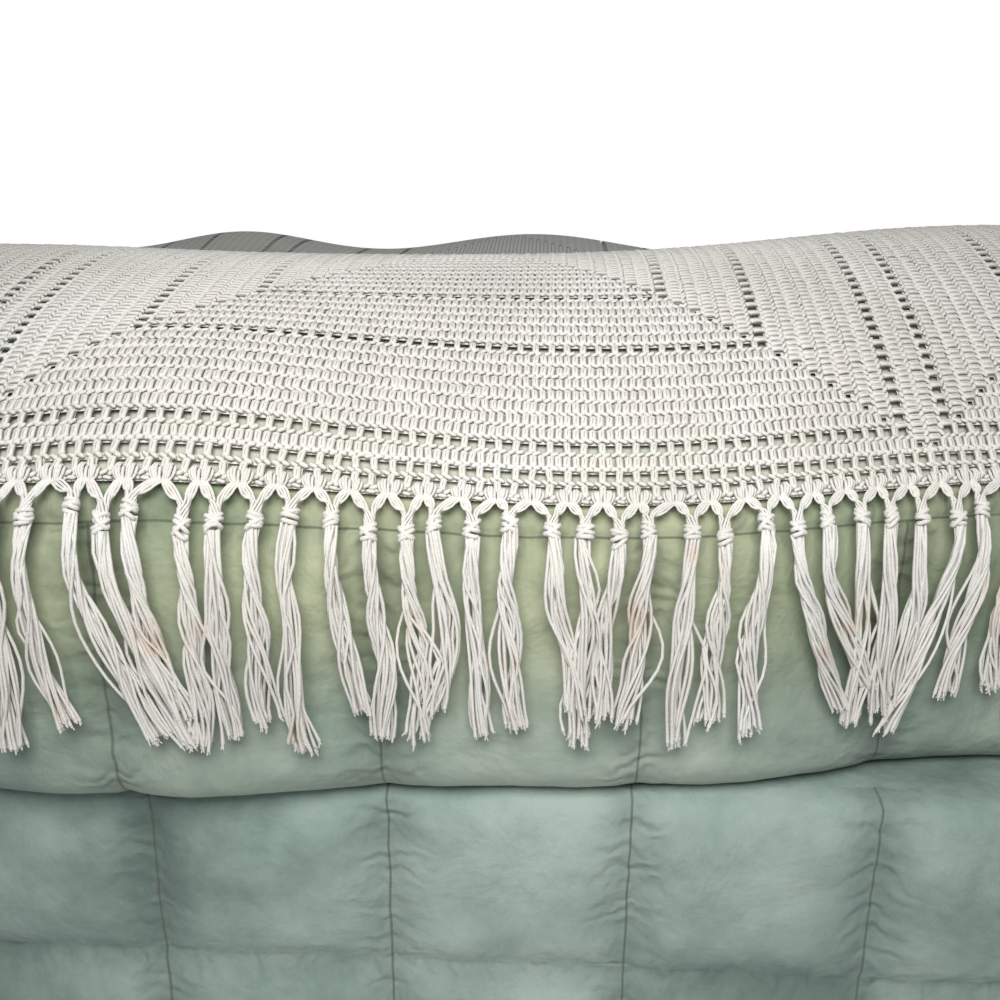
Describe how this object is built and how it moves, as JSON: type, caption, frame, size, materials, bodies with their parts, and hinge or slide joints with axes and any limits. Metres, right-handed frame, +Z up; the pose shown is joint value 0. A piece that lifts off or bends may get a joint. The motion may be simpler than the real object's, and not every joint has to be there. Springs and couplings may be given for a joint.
{
  "type": "crochet blanket on bed",
  "caption": "Cream cotton crochet blanket of large filet-ringed squares with a knotted fringe, draped over the long edges of a plain sage bed",
  "frame": {"origin": "middle of the bed base's underside, on the floor", "axes": "+X runs along the bed and the long hems, -Y faces the front hem, +Z is up"},
  "size_m": [1.9, 1.3134, 0.5336],
  "materials": {
    "cream_cotton": "matt cotton yarn",
    "sage_cover": "matt brushed cotton",
    "base_cloth": "matt upholstery cloth"
  },
  "bodies": {
    "root": {"square_front_left": "cream_cotton", "square_front_middle": "cream_cotton", "square_front_right": "cream_cotton", "square_back_left": "cream_cotton", "square_back_middle": "cream_cotton", "square_back_right": "cream_cotton", "edging_front": "cream_cotton", "edging_back": "cream_cotton", "edging_left": "cream_cotton", "edging_right": "cream_cotton", "fringe_front": "cream_cotton", "fringe_back": "cream_cotton", "mattress": "sage_cover", "bed_base": "base_cloth"}
  },
  "joints": []
}
